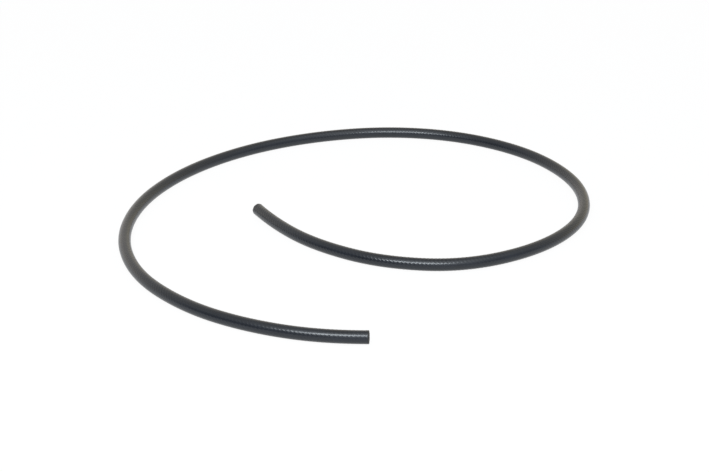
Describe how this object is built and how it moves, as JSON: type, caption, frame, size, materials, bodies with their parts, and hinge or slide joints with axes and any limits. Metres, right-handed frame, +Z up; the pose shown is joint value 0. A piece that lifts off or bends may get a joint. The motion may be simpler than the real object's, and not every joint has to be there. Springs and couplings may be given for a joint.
{
  "type": "soaker hose",
  "caption": "Cut length of black rubber garden soaker hose with a cross-wound yarn layer in its wall, lying in one open loop, both ends square and bare",
  "frame": {"origin": "on the ground under the middle of the loop's bounding box", "axes": "+Z up, out of the plane in which the loop lies; +Y across the loop's longer side, away from the outer cut end; +X across its shorter side"},
  "size_m": [0.6629, 0.7015, 0.0168],
  "materials": {
    "cover_rubber": "satin",
    "tube_rubber": "matte",
    "yarn": "matte"
  },
  "bodies": {
    "root": {"inner_tube": "tube_rubber", "inner_yarn_ply": "yarn", "outer_yarn_ply": "yarn", "cover": "cover_rubber"}
  },
  "joints": []
}
